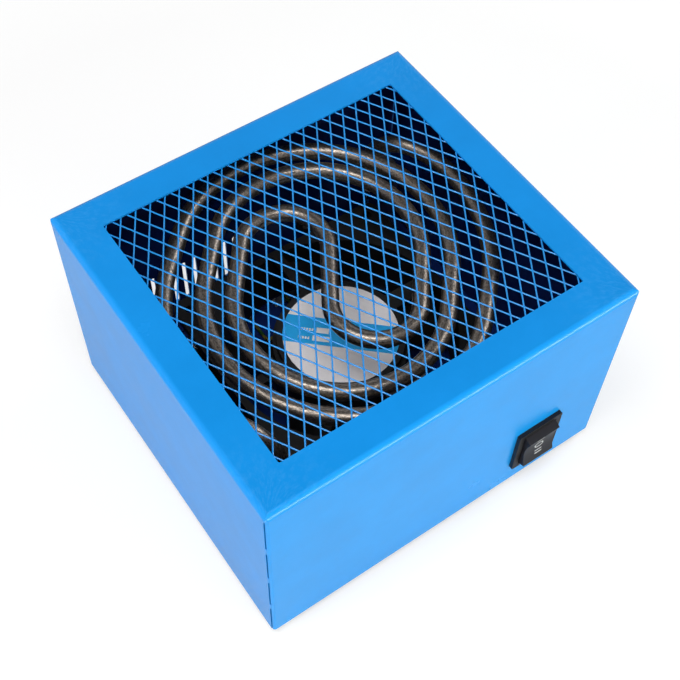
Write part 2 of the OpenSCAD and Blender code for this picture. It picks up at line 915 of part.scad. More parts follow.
// One cambered blade along +X, level with the origin
module blade() {
  camber_depth = sqrt(pow(blade_camber, 2) - pow(blade_chord / 2, 2));
  intersection() {
    rotate([90, 0, 90])
      linear_extrude(tip_r + past)
        rotate(blade_pitch)
          intersection() {
            translate([0, -camber_depth])
              difference() {
                circle(blade_camber + blade_t / 2);
                circle(blade_camber - blade_t / 2);
              }
            translate([-blade_chord / 2, -blade_camber / 2])
              square([blade_chord, blade_camber]);
          }
    difference() {
      cylinder(h = fan_h, r = tip_r, center = true);
      cylinder(h = fan_h + past, r = hub_d / 2 - blade_root, center = true);
    }
  }
}

module fan_rotor() {
  color("#35363b")
  translate([fan_x, 0, 0]) {
    difference() {
      translate([0, 0, hub_z])
        cylinder(h = hub_h, d = hub_d);
      difference() {
        translate([0, 0, hub_z + hub_floor])
          cylinder(h = hub_h, d = hub_d - 2 * hub_wall);
        translate([0, 0, hub_z])
          cylinder(h = boss_top - hub_z, d = boss_d);
      }
      translate([0, 0, hub_z + hub_floor / 2])
        cylinder(h = hub_h, d = shaft_d + fit);
    }
    for (i = [0 : blade_n - 1])
      rotate(i * 360 / blade_n)
        translate([0, 0, blade_z])
          blade();
  }
}

module fan_rotor_ring() {
  color("darkgray")
  translate([fan_x, 0, stator_z])
    difference() {
      cylinder(h = stator_h, d = ring_d);
      translate([0, 0, -past])
        cylinder(h = stator_h + 2 * past, d = ring_d - 2 * ring_wall);
    }
}

module fan_shaft() {
  color("lightsteelblue")
  translate([fan_x, 0, hub_z + hub_floor / 2])
    cylinder(h = base_z - gap - hub_z - hub_floor / 2, d = shaft_d);
}

// Heater

module heater_tube() {
  frames = [
    for (s = tube_stations)
      [
        [s.x, s.y, s.z],
        [-sin(s[3]), cos(s[3]), 0],
        [cos(s[3]) * sin(s[4]), sin(s[3]) * sin(s[4]), cos(s[4])]
      ]
  ];
  color("rosybrown")
  translate(heater_middle)
    swept(frames, tube_d, tube_sides);
}

// Bent strip with a foot on the cover, an upright and a shelf over the fan's corner
module heater_brackets() {
  shelf_in = ferrule_af / 2;
  color("lightgray")
  difference() {
    at_tube_ends()
      translate([0, bracket_w / 2, 0])
        rotate([90, 0, 0])
          linear_extrude(bracket_w) {
            translate([bracket_reach, cover_top])
              square([bracket_t, shelf_top - cover_top]);
            translate([bracket_reach - bracket_foot, cover_top])
              square([bracket_foot + bracket_t, bracket_t]);
            translate([-shelf_in, shelf_z])
              square([shelf_in + bracket_reach + bracket_t, bracket_t]);
          }
    at_tube_ends()
      translate([0, 0, shelf_z - past])
        cylinder(h = bracket_t + 2 * past, d = ferrule_d + 2 * fit);
    at_bracket_screws()
      translate([0, 0, cover_top - past])
        cylinder(h = bracket_t + 2 * past, d = screw_d + 2 * fit);
  }
}

module heater_ferrules() {
  color("goldenrod")
  at_tube_ends()
    difference() {
      union() {
        translate([0, 0, shelf_top])
          cylinder(h = ferrule_head, d = ferrule_af / cos(30), $fn = 6);
        translate([0, 0, tube_end_z])
          cylinder(h = barrel_l, d = ferrule_d);
      }
      translate([0, 0, tube_end_z - past])
        cylinder(h = barrel_l + ferrule_head + 2 * past, d = tube_d + 2 * fit);
    }
}

module heater_nuts() {
  color("goldenrod")
  at_tube_ends()
    translate([0, 0, shelf_z - ferrule_head])
      hex_nut(ferrule_af, ferrule_head, ferrule_d + 2 * fit);
}

module heater_insulators() {
  color("white")
  at_tube_ends()
    translate([0, 0, tube_end_z - insulator_l])
      difference() {
        cylinder(h = insulator_l, d = insulator_d);
        translate([0, 0, -past])
          cylinder(h = insulator_l + 2 * past, d = pin_d + 2 * fit);
      }
}

module heater_pins() {
  color("silver")
  at_tube_ends()
    translate([0, 0, tube_end_z - insulator_l - pin_l])
      cylinder(h = insulator_l + pin_l, d = pin_d);
}

module bracket_screws() {
  color("silver")
  translate([0, 0, foot_h])
    at_bracket_screws()
      pan_screw(screw_d, cover_t + bracket_t + screw_past);
}

// Switch

module at_tabs() {
  for (x = [-1, 1], y = [-1, 0, 1])
    translate([x * tab_px / 2, y * tab_py, 0])
      children();
}

module switch_housing() {
  color("#1b1a1d")
  at_switch() {
    difference() {
      union() {
        linear_extrude(bezel_t)
          round_rect(bezel_w, bezel_h, bezel_r);
        translate([-switch_w / 2, -switch_h / 2, -switch_depth])
          cube([switch_w, switch_h, switch_depth]);
      }
      translate([-cavity_w / 2, -cavity_h / 2, -cavity_back])
        cube([cavity_w, cavity_h, cavity_back + bezel_t + past]);
      translate([0, 0, pivot_out])
        rotate([0, 90, 0])
          cylinder(h = switch_w + 2 * past, d = pivot_d + 2 * running, center = true);
      at_tabs()
        translate([0, 0, -switch_depth])
          cube([tab_w + 2 * fit, tab_t + 2 * fit, 2 * tab_in + 2 * fit], center = true);
    }
    for (side = [-1, 1])
      scale([1, side, 1])
        rotate([90, 0, 90])
          linear_extrude(latch_l, center = true)
            polygon([
              [switch_h / 2 - fit, -sheet_t - latch_d],
              [switch_h / 2 + latch_h, -sheet_t - fit],
              [switch_h / 2 - fit, -sheet_t - fit]
            ]);
  }
}

module switch_terminals() {
  color("goldenrod")
  at_switch()
    at_tabs()
      translate([0, 0, (tab_in - tab_l) / 2 - switch_depth])
        cube([tab_w, tab_t, tab_in + tab_l], center = true);
}

module rocker_outline() {
  difference() {
    intersection() {
      translate([0, pivot_out])
        circle(rocker_r);
      translate([-switch_h, pivot_out - rocker_back])
        square([2 * switch_h, rocker_out - pivot_out + rocker_back]);
    }
    translate([0, rocker_out - rocker_dish + dish_r])
      circle(dish_r);
  }
}

module switch_rocker() {
  color("#3a3940")
  at_switch() {
    rotate([90, 0, 90])
      linear_extrude(rocker_w, center = true)
        rocker_outline();
    translate([0, 0, pivot_out])
      rotate([0, 90, 0])
        cylinder(h = switch_w - 2 * gap, d = pivot_d, center = true);
  }
}

// Cord inlet and terminal block

module inlet_bush() {
  bush_l = flange_t + sheet_t + collar_t;
  color("#26262a")
  translate([inlet_x, box_d / 2 + flange_t, inlet_z])
    rotate([90, 0, 0])
      difference() {
        union() {
          cylinder(h = bush_l, d = inlet_d - 2 * fit);
          cylinder(h = flange_t / 2, d1 = inlet_d + collar_w, d2 = inlet_d + 2 * collar_w);
          translate([0, 0, flange_t / 2])
            cylinder(h = flange_t / 2, d = inlet_d + 2 * collar_w);
          translate([0, 0, bush_l - collar_t])
            cylinder(h = collar_t, d = inlet_d + collar_w);
        }
        translate([0, 0, -past])
          cylinder(h = bush_l + 2 * past, d = inlet_bore);
      }
}

module at_block_screws() {
  for (s = [-1, 1])
    translate([block_x + s * block_pitch / 2, block_y, 0])
      children();
}

module terminal_block() {
  color("ivory")
  difference() {
    translate([block_x - block_w / 2, block_y - block_d / 2, cover_top])
      cube([block_w, block_d, block_h]);
    for (i = [-1 : 1])
      translate([block_x + i * block_pitch, block_y, cover_top]) {
        translate([0, 0, pole_z])
          rotate([90, 0, 0])
            cylinder(h = block_d + 2 * past, d = block_bore, center = true);
        for (s = [-1, 1])
          translate([0, s * block_d / 4, pole_z])
            cylinder(h = block_h, d = pole_screw_d);
      }
    at_block_screws()
      translate([0, 0, cover_top - past])
        cylinder(h = block_h + 2 * past, d = block_screw_d + 2 * fit);
  }
}

module block_screws() {
  color("silver")
  translate([0, 0, cover_top + block_h])
    mirror([0, 0, 1])
      at_block_screws()
        pan_screw(block_screw_d, block_h + cover_t + block_screw_past);
}

// Clamping screws of the poles, each with a slot across its head
module pole_screws() {
  foot = pole_z + lead_d / 2 + 2 * fit;
  color("silver")
  for (i = [-1 : 1], s = [-1, 1])
    translate([block_x + i * block_pitch, block_y + s * block_d / 4, cover_top + foot])
      difference() {
        cylinder(h = block_h - foot - past, d = pole_screw_d - 2 * fit);
        translate([0, 0, block_h - foot - past])
          cube([pole_screw_d + past, recess_w_ratio * pole_screw_d, 2 * recess_h_ratio * pole_screw_d],
            center = true);
      }
}

// Leads and earth

module earth_tag() {
  color("goldenrod")
  translate([earth_x, earth_y, cover_top])
    linear_extrude(tag_t)
      difference() {
        union() {
          circle(d = tag_d);
          translate([-tag_w / 2, -tag_l])
            square([tag_w, tag_l]);
        }
        circle(d = earth_d + 2 * fit);
      }
}

module earth_screw() {
  color("silver")
  translate([earth_x, earth_y, foot_h])
    pan_screw(earth_d, cover_t + tag_t + nut_h_ratio * earth_d + past);
}

module earth_nut() {
  color("silver")
  translate([earth_x, earth_y, cover_top + tag_t])
    hex_nut(nut_ratio * earth_d, nut_h_ratio * earth_d, earth_d + 2 * fit);
}

// From the block to the switch, between the switch's poles, to the fan and to the front heater end
module live_leads() {
  pole_x = block_x + block_pitch;
  pin_x = heater_middle.x - leg_x;
  color("saddlebrown") {
    lead([
      [pole_x, pole_y, lead_z], [pole_x, cross_run, lead_z], [side_run, cross_run, lead_z],
      [side_run, corner_run, lead_z], [side_run, corner_run, tab_zs[1]],
      [tab_xs[1] + tab_pair, corner_run, tab_zs[1]], [tab_xs[1] + tab_pair, tab_y, tab_zs[1]]
    ]);
    lead([
      [tab_xs[1] - tab_pair, tab_y, tab_zs[1]], [tab_xs[1] - tab_pair, front_run, tab_zs[1]],
      [tab_xs[0] + tab_pair, front_run, tab_zs[1]], [tab_xs[0] + tab_pair, tab_y, tab_zs[1]]
    ]);
    lead([
      [tab_xs[0], tab_y, tab_zs[0] + tab_lift], [tab_xs[0], front_run, tab_zs[0] + tab_lift],
      [tab_xs[0], front_run, tab_zs[2]], [tab_xs[0], tab_y, tab_zs[2]]
    ]);
    lead([
      [tab_xs[0] - tab_pair, tab_y, tab_zs[2]], [tab_xs[0] - tab_pair, front_run, tab_zs[2]],
      [fan_tab_xs[0], front_run, tab_zs[2]], [fan_tab_xs[0], fan_tab_end - fit, tab_zs[2]]
    ]);
    lead([
      [tab_xs[1], tab_y, tab_zs[2]], [tab_xs[1], front_run, tab_zs[2]],
      [tab_xs[1], front_run, high_run], [pin_x, front_run, high_run],
      [pin_x, heater_middle.y - leg_y, high_run], [pin_x, heater_middle.y - leg_y, pin_end]
    ]);
  }
}

// From the block to the fan and to the back heater end
module neutral_leads() {
  pin_x = heater_middle.x + leg_x;
  color("steelblue") {
    lead([
      [fan_tab_xs[1], fan_tab_end - fit, fan_tab_z], [fan_tab_xs[1], front_run, fan_tab_z],
      [fan_tab_xs[1], front_run, floor_z], [fan_tab_xs[1], cross_run, floor_z],
      [fan_tab_xs[1], back_run, lead_z], [fan_tab_xs[1], pole_y, lead_z]
    ]);
    lead([
      [pin_x, heater_middle.y + leg_y, pin_end], [pin_x, heater_middle.y + leg_y, over_run],
      [pin_x, back_run, over_run], [block_x - pole_pair, back_run, over_run],
      [block_x - pole_pair, back_run, lead_z], [block_x - pole_pair, pole_y, lead_z]
    ]);
  }
}

module earth_lead() {
  pole_x = block_x - block_pitch;
  tail_z = cover_top + tag_t + lead_d / 2 + fit;
  color("yellowgreen")
  lead([
    [pole_x, pole_y, lead_z], [pole_x, back_run, lead_z], [pole_x, cross_run, tail_z],
    [earth_x, cross_run, tail_z], [earth_x, earth_y - tag_l + past, tail_z]
  ]);
}

housing_shell();
mesh_guard();
bottom_cover();
cover_screws();
feet();
foot_screws();
fan_frame();
fan_stator();
fan_windings();
fan_bearings();
fan_label();
fan_spacers();
fan_screws();
fan_nuts();
fan_rotor();
fan_rotor_ring();
fan_shaft();
heater_tube();
heater_brackets();
heater_ferrules();
heater_nuts();
heater_insulators();
heater_pins();
bracket_screws();
switch_housing();
switch_terminals();
switch_rocker();
inlet_bush();
terminal_block();
block_screws();
pole_screws();
fan_terminals();
earth_tag();
earth_screw();
earth_nut();
live_leads();
neutral_leads();
earth_lead();
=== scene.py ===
"""Looks of a watch dryer: powder-coated case, expanded mesh, bent heater, fan and rocker switch."""
import math

import bpy
import numpy as np
from bpy.props import FloatProperty, FloatVectorProperty, PointerProperty
from mathutils import Matrix, Vector


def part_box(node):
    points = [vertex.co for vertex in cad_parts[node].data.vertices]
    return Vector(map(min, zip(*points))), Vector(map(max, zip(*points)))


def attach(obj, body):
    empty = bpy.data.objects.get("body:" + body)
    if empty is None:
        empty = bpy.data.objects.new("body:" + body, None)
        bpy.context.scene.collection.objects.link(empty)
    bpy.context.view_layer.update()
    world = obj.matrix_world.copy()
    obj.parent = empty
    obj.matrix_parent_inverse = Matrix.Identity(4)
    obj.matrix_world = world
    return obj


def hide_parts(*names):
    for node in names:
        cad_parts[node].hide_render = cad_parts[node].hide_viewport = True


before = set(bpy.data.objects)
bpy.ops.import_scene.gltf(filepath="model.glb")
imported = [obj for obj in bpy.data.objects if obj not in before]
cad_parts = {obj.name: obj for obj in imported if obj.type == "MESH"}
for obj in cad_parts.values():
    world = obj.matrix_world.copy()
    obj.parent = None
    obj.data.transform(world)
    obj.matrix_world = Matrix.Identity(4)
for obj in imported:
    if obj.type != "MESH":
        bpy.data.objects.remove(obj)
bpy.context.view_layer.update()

bl_info = {
    "name": "Watch dryer",
    "version": (1, 0, 0),
    "blender": (4, 5, 0),
    "location": "3D View > Sidebar > Dryer",
    "description": "Dresses the watch dryer's solids and sets its studio",
    "category": "Object",
}

MM = 0.001

# Camera: the image's side in pixels, the sensor's in millimetres, and the nearest metres it shows
IMAGE_SIDE, SENSOR_WIDTH, NEAREST = 680, 36, 0.01

# Floor: half its side, the distances between which it whitens, and its glow, where 1 is white
FLOOR_HALF, FLOOR_NEAR, FLOOR_FAR = 4.0, 0.3, 1.2
NEAR_GLOW, FAR_GLOW, MIRRORED_GLOW = 0.56, 1.0, 0.12

# Background in mirrors: the heights between which it darkens, and its strength at each of them
SKY_LOW, SKY_HIGH = 0.45, 0.88
SKY_LIGHT, SKY_DARK = 0.8, 0.03

# Lamps: name, place, sides, watts, tint, and whether mirrors show it
WHITE, PLAIN, WARM = (1, 1, 1, 1), (1, 1, 1), (0.95, 1, 0.88)
LAMP_AIM = (0, 0, 0.06)
LAMPS = (
    ("key", (0.35, -1.3, 0.28), (1.8, 0.5), 6.0, WARM, False),
    ("edge", (0.35, -1.3, 0.12), (1.8, 0.18), 13.5, WARM, True),
    ("left", (-0.9, -0.05, 0.15), (0.5, 0.5), 5.9, PLAIN, False),
    ("top", (-0.3, -0.2, 1.3), (0.9, 0.45), 10.8, PLAIN, True),
    ("right", (1.2, -0.1, 1.0), (0.5, 0.5), 5.2, PLAIN, True),
)


# Properties

def size(name, description, millimetres):
    """A length that is given in millimetres."""
    return FloatProperty(
        name=name, description=description, default=millimetres * MM, unit="LENGTH", precision=5
    )


def sizes(name, description, millimetres):
    """Several lengths that are given in millimetres."""
    return FloatVectorProperty(
        name=name, description=description, default=[m * MM for m in millimetres],
        size=len(millimetres), unit="LENGTH", precision=5,
    )


def turn(name, description, degrees):
    """An angle that is given in degrees."""
    return FloatProperty(
        name=name, description=description, default=math.radians(degrees), subtype="ANGLE"
    )


def turns(name, description, degrees):
    """Several angles that are given in degrees."""
    return FloatVectorProperty(
        name=name, description=description, default=[math.radians(d) for d in degrees],
        size=len(degrees),
    )


def colour(name, description, rgb):
    """A linear colour."""
    return FloatVectorProperty(
        name=name, description=description, default=rgb, size=3, subtype="COLOR", min=0, max=1
    )


def share(name, description, value):
    """A number from 0 to 1."""
    return FloatProperty(
        name=name, description=description, default=value, min=0, max=1, subtype="FACTOR"
    )


class CaseLook(bpy.types.PropertyGroup):
    """Paint of the case, the mesh and the cover, with painted shade on the inside."""
    paint: colour("Paint", "Powder coat on the outside", (0.005, 0.285, 0.79))
    # painted shade: the inside has the same blue paint, drawn in this dark colour for the shade in
    # the case
    inside: colour("Inside", "Thin dark coat on the inside", (0.008, 0.03, 0.18))
    # depth below the outer face where the painted shade of the inside begins
    skin: size("Skin", "Depth in the sheet at which the dark coat starts", 0.9)
    gloss: share("Roughness", "Mean roughness of the powder coat", 0.24)
    peel: size("Orange peel", "Size of the powder coat's ripples", 3.2)
    ground: colour("Ground", "Paint over the grinding marks", (0.05, 0.36, 0.85))
    grind: size("Grinding", "Reach of the grinding marks from the top's corners", 42)
    grind_strength: share("Grinding strength", "How far the marks lighten the paint", 0.5)


class MeshLook(bpy.types.PropertyGroup):
    """Strands of the expanded mesh."""
    short_pitch: size("Short pitch", "Pitch of the diamonds from left to right", 7.4)
    long_pitch: size("Long pitch", "Pitch of the diamonds from front to back", 12.6)
    shift: sizes("Shift", "Place of the pattern right of the middle and behind it", (-1.95, 3.65))
    skew: FloatProperty(
        name="Skew", description="Shift to the right on the way to the back", default=0.0215
    )
    strand_width: size("Strand width", "Width of a strand", 0.68)
    strand_thickness: size("Strand thickness", "Thickness of a strand", 0.5)
    chamfer: size("Chamfer", "Rounding of a strand's edges", 0.14)
    lean: turn("Lean", "How far a strand leans out of the sheet", 24)
    border: size("Border", "Width of the flat border", 2.4)


class HeaterLook(bpy.types.PropertyGroup):
    """Bend table and finish of the heater tube."""
    middle: sizes("Middle", "Middle of the heater in plan", (-1, 6.5))
    diameter: size("Diameter", "Diameter of the tube", 8)
    heading: turn("Heading", "Direction of the straight through the middle", 237)
    runs: sizes("Runs", "Straight before each bend", (15.5, 27, 23, 18.5, 0))
    radii: sizes("Radii", "Radius of each bend", (20, 47.5, 62.5, 85.5, 50))
    angles: turns("Angles", "Angle of each bend", (175, 177, 176, 45, 30))
    down_radius: size("Down radius", "Radius of the bend down at each end", 20)
    sheath: colour("Sheath", "Heat-tinted steel", (0.43, 0.37, 0.315))
    scale: colour("Scale", "Darker oxide on the steel", (0.045, 0.039, 0.034))


ON_BAND = "Place along and across the band, length and height"


class FanLook(bpy.types.PropertyGroup):
    """Finish of the fan and its label."""
    black: colour("Black", "Satin black of the fan", (0.007, 0.007, 0.008))
    film: colour("Film", "Label film", (0.94, 0.91, 0.93))
    band: colour("Band", "Band across the label", (0.02, 0.44, 0.95))
    band_width: size("Band width", "Width of the label's band", 15.5)
    band_heading: turn("Band heading", "Direction of the label's band", -42.2)
    field: colour("Field", "Blank fields on the band", (0.94, 0.93, 0.95))
    upper_field: sizes("Upper field", ON_BAND, (-9, 0.5, 6, 3))
    lower_field: sizes("Lower field", ON_BAND, (-9.2, -4.2, 8.2, 3))
    upper_dashes: sizes("Upper dashes", ON_BAND, (-16.6, 0.4, 7, 1.4))
    lower_dashes: sizes("Lower dashes", ON_BAND, (-17.4, -4.5, 5.6, 1.4))
    dash: size("Dash", "Distance from dash to dash", 1.3)
    dash_share: share("Dash share", "Share of that distance that a dash fills", 0.6)


class SwitchLook(bpy.types.PropertyGroup):
    """Finish and marks of the rocker switch."""
    bezel: colour("Bezel", "Plastic of the switch's housing", (0.005, 0.0045, 0.006))
    rocker: colour("Rocker", "Plastic of the rocker", (0.012, 0.0115, 0.016))
    ink: colour("Ink", "Printed marks on the rocker", (0.8, 0.8, 0.82))
    dish: size("Dish", "Depth of the hollow in the rocker's face", 1.9)
    dish_half: size("Dish half height", "Half height of the hollow", 9.884)
    stroke: size("Stroke", "Width of a mark's stroke", 0.42)
    ink_height: size("Ink height", "Height of a mark above the face", 0.06)
    ink_edge: size("Ink edge", "Rounding of a mark's edges", 0.02)
    bar: size("Bar", "Length of a bar mark", 4.2)
    bar_gap: size("Bar gap", "Distance between the two bars of the lower mark", 1.9)
    bar_place: size("Bar place", "Distance of the bar marks from the rocker's middle", 5.3)
    ring: sizes("Ring", "Half width and half height of the ring mark", (2.4, 1.8))


class FixingsLook(bpy.types.PropertyGroup):
    """Metals, ceramic and small plastics."""
    zinc: colour("Zinc", "Bright plate of screws, nuts and spacers", (0.55, 0.56, 0.57))
    bracket: colour("Bracket", "Dull plate of the heater's brackets", (0.42, 0.43, 0.45))
    ferrule: colour("Ferrule", "Turned brass of the heater's ends", (0.55, 0.4, 0.16))
    terminal: colour("Terminal", "Brass of the switch's terminals", (0.55, 0.42, 0.18))
    tag: colour("Tag", "Dull brass of the tags", (0.34, 0.25, 0.1))
    pin: colour("Pin", "Steel of the heater's pins", (0.55, 0.55, 0.56))
    shaft: colour("Shaft", "Ground steel of the fan's shaft and bearings", (0.6, 0.6, 0.61))
    core: colour("Core", "Stacked steel of the fan's core and ring", (0.25, 0.26, 0.28))
    wire: colour("Wire", "Enamelled copper of the fan's windings", (0.5, 0.2, 0.08))
    steatite: colour("Steatite", "Ceramic of the heater's insulators", (0.7, 0.68, 0.62))
    rubber: colour("Rubber", "Rubber of the feet", (0.025, 0.025, 0.027))
    bush: colour("Bush", "Plastic of the cord inlet", (0.015, 0.015, 0.017))
    block: colour("Block", "Plastic of the terminal block", (0.62, 0.59, 0.5))


class LeadsLook(bpy.types.PropertyGroup):
    """Insulation of the leads inside the case."""
    live: colour("Live", "Insulation of the live leads", (0.13, 0.045, 0.018))
    neutral: colour("Neutral", "Insulation of the neutral leads", (0.02, 0.16, 0.5))
    earth: colour("Earth", "Insulation of the earth lead", (0.015, 0.08, 0.012))
    earth_stripe: colour("Earth stripe", "Stripe on the earth lead", (0.14, 0.12, 0.012))
    stripe: size("Stripe", "Width of a stripe along the lead", 4)


class StageLook(bpy.types.PropertyGroup):
    """Camera, light and floor."""
    eye: sizes("Eye", "Place of the camera", (-186.04, -253.02, 536.48))
    azimuth: turn("Azimuth", "Camera's direction round the object", -36.529)
    elevation: turn("Elevation", "Camera's direction above the horizon", 56.807)
    roll: turn("Roll", "Camera's roll", 2.129)
    focal: FloatProperty(name="Focal length", description="In pixels of the image", default=1198.57)
    floor: colour("Floor", "Pale floor", (0.5, 0.5, 0.5))
    ambient: FloatProperty(name="Ambient", description="Even light from all round", default=0.15)


LOOKS = {
    "dryer_case": CaseLook,
    "dryer_mesh": MeshLook,
    "dryer_heater": HeaterLook,
    "dryer_fan": FanLook,
    "dryer_switch": SwitchLook,
    "dryer_fixings": FixingsLook,
    "dryer_leads": LeadsLook,
    "dryer_stage": StageLook,
}


# Shapes

def grid_faces(rows, columns, wrap_rows=False):
    """Quads between the neighbours of a grid whose columns close on themselves. Its rows close
    too where wrap_rows is set, and otherwise one polygon closes the first row and one the last."""
    row, column = np.meshgrid(
        np.arange(rows if wrap_rows else rows - 1), np.arange(columns), indexing="ij"
    )
    after_row, after_column = (row + 1) % rows, (column + 1) % columns
    quads = np.stack([
        row * columns + column, row * columns + after_column,
        after_row * columns + after_column, after_row * columns + column,
    ], -1).reshape(-1, 4).tolist()
    if wrap_rows:
        return quads
    first = np.arange(columns)
    return quads + [first[::-1].tolist(), (first + (rows - 1) * columns).tolist()]


def sweep(path, side, up, profile):
    """Profile carried along a path: point = path + across * side + over * up, for every station of
    the path and every (across, over) of the profile."""
    across, over = profile[:, 0, None], profile[:, 1, None]
    return path[..., None, :] + side[..., None, :] * across + up[..., None, :] * over


def round_profile(diameter, count):
    """Circle: (r cos a, r sin a) for count even steps of a."""
    a = np.linspace(0, 2 * np.pi, count, endpoint=False)
    return diameter / 2 * np.stack([np.cos(a), np.sin(a)], -1)


def bar_profile(width, thickness, chamfer):
    """Rectangle with cut corners: each corner gives two points, one chamfer from it each way."""
    x, y = width / 2, thickness / 2
    c = min(chamfer, x, y)
    return np.array([
        (x, c - y), (x, y - c), (x - c, y), (c - x, y),
        (-x, y - c), (-x, c - y), (c - x, -y), (x - c, -y),
    ])


def outward(points, faces):
    """Faces turned so that the closed surface has a positive volume, by the sum of the tetrahedra
    between the origin and each face's triangles."""
    volume = 0.0
    for corners in {len(f) for f in faces}:
        ring = points[np.array([f for f in faces if len(f) == corners])]
        for k in range(1, corners - 1):
            volume += np.einsum("ij,ij->", ring[:, 0], np.cross(ring[:, k], ring[:, k + 1]))
    return faces if volume > 0 else [f[::-1] for f in faces]


def piece(name, shells, material, body, stands_for=(), sharp=40, marks=None):
    """One object from closed shells, each (points, faces), at the origin, riding on a body. marks,
    where given, is the name of a vector attribute and its values at the points."""
    vertices, faces, start = [], [], 0
    for points, shell_faces in shells:
        flat = points.reshape(-1, 3)
        turned = outward(flat - flat.mean(0), shell_faces)
        faces += [[i + start for i in f] for f in turned]
        vertices.append(flat)
        start += len(flat)
    mesh = bpy.data.meshes.new(name)
    mesh.from_pydata(np.concatenate(vertices).tolist(), [], faces)
    mesh.shade_smooth()
    mesh.set_sharp_from_angle(angle=math.radians(sharp))
    if marks is not None:
        label, values = marks
        attribute = mesh.attributes.new(label, "FLOAT_VECTOR", "POINT")
        attribute.data.foreach_set("vector", values.astype(np.float32).ravel())
    mesh.materials.append(material)
    made = bpy.data.objects.new(name, mesh)
    bpy.context.scene.collection.objects.link(made)
    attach(made, body)
    if stands_for:
        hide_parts(*stands_for)


# Materials

class Nodes:
    """Adds nodes to a tree: an input's value is a socket to link or a constant to set."""

    def __init__(self, tree):
        self.tree = tree

    def add(self, kind, inputs=None, **settings):
        """A node with its settings made and its inputs linked or set."""
        made = self.tree.nodes.new(kind)
        for key, value in settings.items():
            setattr(made, key, value)
        for key, value in (inputs or {}).items():
            if isinstance(value, bpy.types.NodeSocket):
                self.tree.links.new(value, made.inputs[key])
            else:
                made.inputs[key].default_value = value
        return made

    def math(self, operation, *values):
        """Result of one operation on numbers."""
        return self.add("ShaderNodeMath", dict(enumerate(values)), operation=operation).outputs[0]

    def mix(self, factor, low, high):
        """Colour between two. The node's colours are its inputs 6 and 7 and its output 2."""
        inputs = {0: factor, 6: low, 7: high}
        return self.add("ShaderNodeMix", inputs, data_type="RGBA").outputs[2]

    def ramp(self, value, low, high, to_low=0.0, to_high=1.0):
        """Straight ramp from to_low at low to to_high at high, level beyond them."""
        return self.add("ShaderNodeMapRange", {
            "Value": value, "From Min": low, "From Max": high, "To Min": to_low, "To Max": to_high,
        }).outputs[0]

    def place(self):
        """Place of a point in the object's own frame."""
        return self.add("ShaderNodeTexCoord").outputs["Object"]


def rgba(rgb):
    """Opaque colour."""
    return (*rgb, 1.0)


def about(value, spread):
    """Lowest and highest value of a spread about a mean."""
    return value * (1 - spread), value * (1 + spread)


def new_group(name, inputs, outputs):
    """Empty shader node group with named sockets, its input and output nodes made."""
    group = bpy.data.node_groups.new(name, "ShaderNodeTree")
    for direction, sockets in (("INPUT", inputs), ("OUTPUT", outputs)):
        for label, kind in sockets:
            group.interface.new_socket(label, in_out=direction, socket_type=kind)
    nodes = Nodes(group)
    return group, nodes, nodes.add("NodeGroupInput").outputs, nodes.add("NodeGroupOutput").inputs


FLOAT, COLOUR, VECTOR = "NodeSocketFloat", "NodeSocketColor", "NodeSocketVector"


def mottle_group():
    """Cloudy variation of a finish: a coarse noise moves colour and roughness between two values
    and a fine noise gives the height of the grain."""
    found = bpy.data.node_groups.get("Mottle")
    if found:
        return found
    group, nodes, given, out = new_group(
        "Mottle",
        [
            ("Vector", VECTOR), ("Cloud scale", FLOAT), ("Grain scale", FLOAT),
            ("Low colour", COLOUR), ("High colour", COLOUR),
            ("Low roughness", FLOAT), ("High roughness", FLOAT),
        ],
        [("Colour", COLOUR), ("Roughness", FLOAT), ("Height", FLOAT)],
    )
    cloud = nodes.add("ShaderNodeTexNoise", {
        "Vector": given["Vector"], "Scale": given["Cloud scale"], "Detail": 5.0, "Roughness": 0.6,
    }).outputs["Fac"]
    grain = nodes.add("ShaderNodeTexNoise", {
        "Vector": given["Vector"], "Scale": given["Grain scale"], "Detail": 3.0, "Roughness": 0.5,
    }).outputs["Fac"]
    thin, thick = 0.3, 0.7  # most of the noise lies between these
    cover = nodes.ramp(cloud, thin, thick)
    group.links.new(nodes.mix(cover, given["Low colour"], given["High colour"]), out["Colour"])
    rough = nodes.add("ShaderNodeMapRange", {
        "Value": cover, "To Min": given["Low roughness"], "To Max": given["High roughness"],
    })
    group.links.new(rough.outputs[0], out["Roughness"])
    group.links.new(grain, out["Height"])
    return group


def finish(name, low, high, rough, cloud=40.0, grain=900.0, bump=0.1, bump_mm=0.05, metallic=0.0,
           stretch=None, vector=None, recolour=None, level=0.5):
    """Material of mottled colour and roughness with a grained normal. rough is the roughness of the
    low and of the high colour, cloud and grain are the scales of the two noises, and level is the
    specular level. vector, where given, makes the coordinates, and stretch scales them. recolour,
    where given, is called with the node helper and the mottled colour and roughness, and returns
    their replacements."""
    material = bpy.data.materials.new(name)
    material.use_nodes = True
    tree = material.node_tree
    tree.nodes.clear()
    nodes = Nodes(tree)
    place = vector(nodes) if vector else nodes.place()
    if stretch:
        place = nodes.add("ShaderNodeMapping", {"Vector": place, "Scale": stretch}).outputs[0]
    mottle = nodes.add("ShaderNodeGroup", node_tree=mottle_group())
    tree.links.new(place, mottle.inputs["Vector"])
    for label, value in (
        ("Cloud scale", cloud), ("Grain scale", grain), ("Low colour", rgba(low)),
        ("High colour", rgba(high)), ("Low roughness", rough[0]), ("High roughness", rough[1]),
    ):
        mottle.inputs[label].default_value = value
    shade, roughness = mottle.outputs["Colour"], mottle.outputs["Roughness"]
    if recolour:
        shade, roughness = recolour(nodes, shade, roughness)
    normal = nodes.add("ShaderNodeBump", {
        "Height": mottle.outputs["Height"], "Strength": bump, "Distance": bump_mm * MM,
    }).outputs[0]
    surface = nodes.add("ShaderNodeBsdfPrincipled", {
        "Base Color": shade, "Roughness": roughness, "Metallic": metallic, "Normal": normal,
        "Specular IOR Level": level,
    })
    output = nodes.add("ShaderNodeOutputMaterial")
    tree.links.new(surface.outputs[0], output.inputs["Surface"])
    return material


